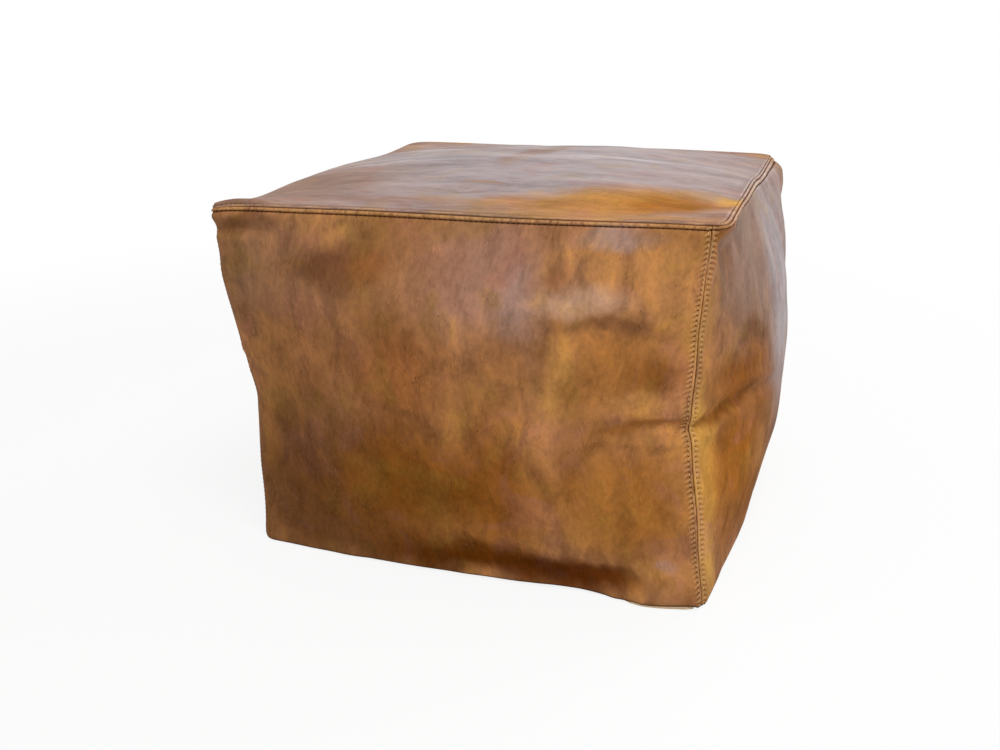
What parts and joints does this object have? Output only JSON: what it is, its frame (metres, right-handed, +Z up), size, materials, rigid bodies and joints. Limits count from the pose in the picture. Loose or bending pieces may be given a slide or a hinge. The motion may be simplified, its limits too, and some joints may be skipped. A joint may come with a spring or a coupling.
{
  "type": "moroccan leather pouf",
  "caption": "Square stuffed leather pouf with bulging sides, pinched corners, twin-needle stitched seams and a zip across its base, used as a footstool, low seat or side table.",
  "frame": {"origin": "on the floor under the middle of the base", "axes": "+Z up, -Y out of the front panel, +X out of the right panel; the zip runs along X"},
  "size_m": [0.5174, 0.5174, 0.3525],
  "materials": {
    "panel_leather": "satin",
    "base_leather": "matte",
    "seam_tape": "matte",
    "thread": "satin",
    "bag_cloth": "matte",
    "stuffing": "matte",
    "zip_tape": "matte",
    "zip_metal": "satin"
  },
  "bodies": {
    "pouf": {"top_panel": "panel_leather", "front_panel": "panel_leather", "right_panel": "panel_leather", "back_panel": "panel_leather", "left_panel": "panel_leather", "base_panel_front": "base_leather", "base_panel_rear": "base_leather", "corner_tape_front_right": "seam_tape", "corner_tape_back_right": "seam_tape", "corner_tape_back_left": "seam_tape", "corner_tape_front_left": "seam_tape", "top_seam_tape": "seam_tape", "thread_top_inner": "thread", "thread_top_outer": "thread", "thread_corner_front_right": "thread", "thread_corner_back_right": "thread", "thread_corner_back_left": "thread", "thread_corner_front_left": "thread", "thread_base_seam": "thread", "thread_zip": "thread", "zip_tape_front": "zip_tape", "zip_tape_rear": "zip_tape", "zip_teeth_front": "zip_metal", "zip_teeth_rear": "zip_metal", "zip_top_stops": "zip_metal", "zip_bottom_stop": "zip_metal", "inner_bag_top": "bag_cloth", "inner_bag_sides": "bag_cloth", "inner_bag_base": "bag_cloth", "stuffing": "stuffing"},
    "slider": {"zip_slider": "zip_metal"},
    "pull": {"zip_pull": "zip_metal"}
  },
  "joints": [
    {"name": "zip_slide", "type": "slide", "parent": "pouf", "child": "slider", "axis": [-1, 0, 0], "range_m": [0, 0.29], "deforming": ["zip_teeth_front", "zip_teeth_rear"]},
    {"name": "pull_swing", "type": "hinge", "parent": "slider", "child": "pull", "pos_m": [0.15, 0, 0.00165], "axis": [0, -1, 0], "range_deg": [0, 170]}
  ]
}
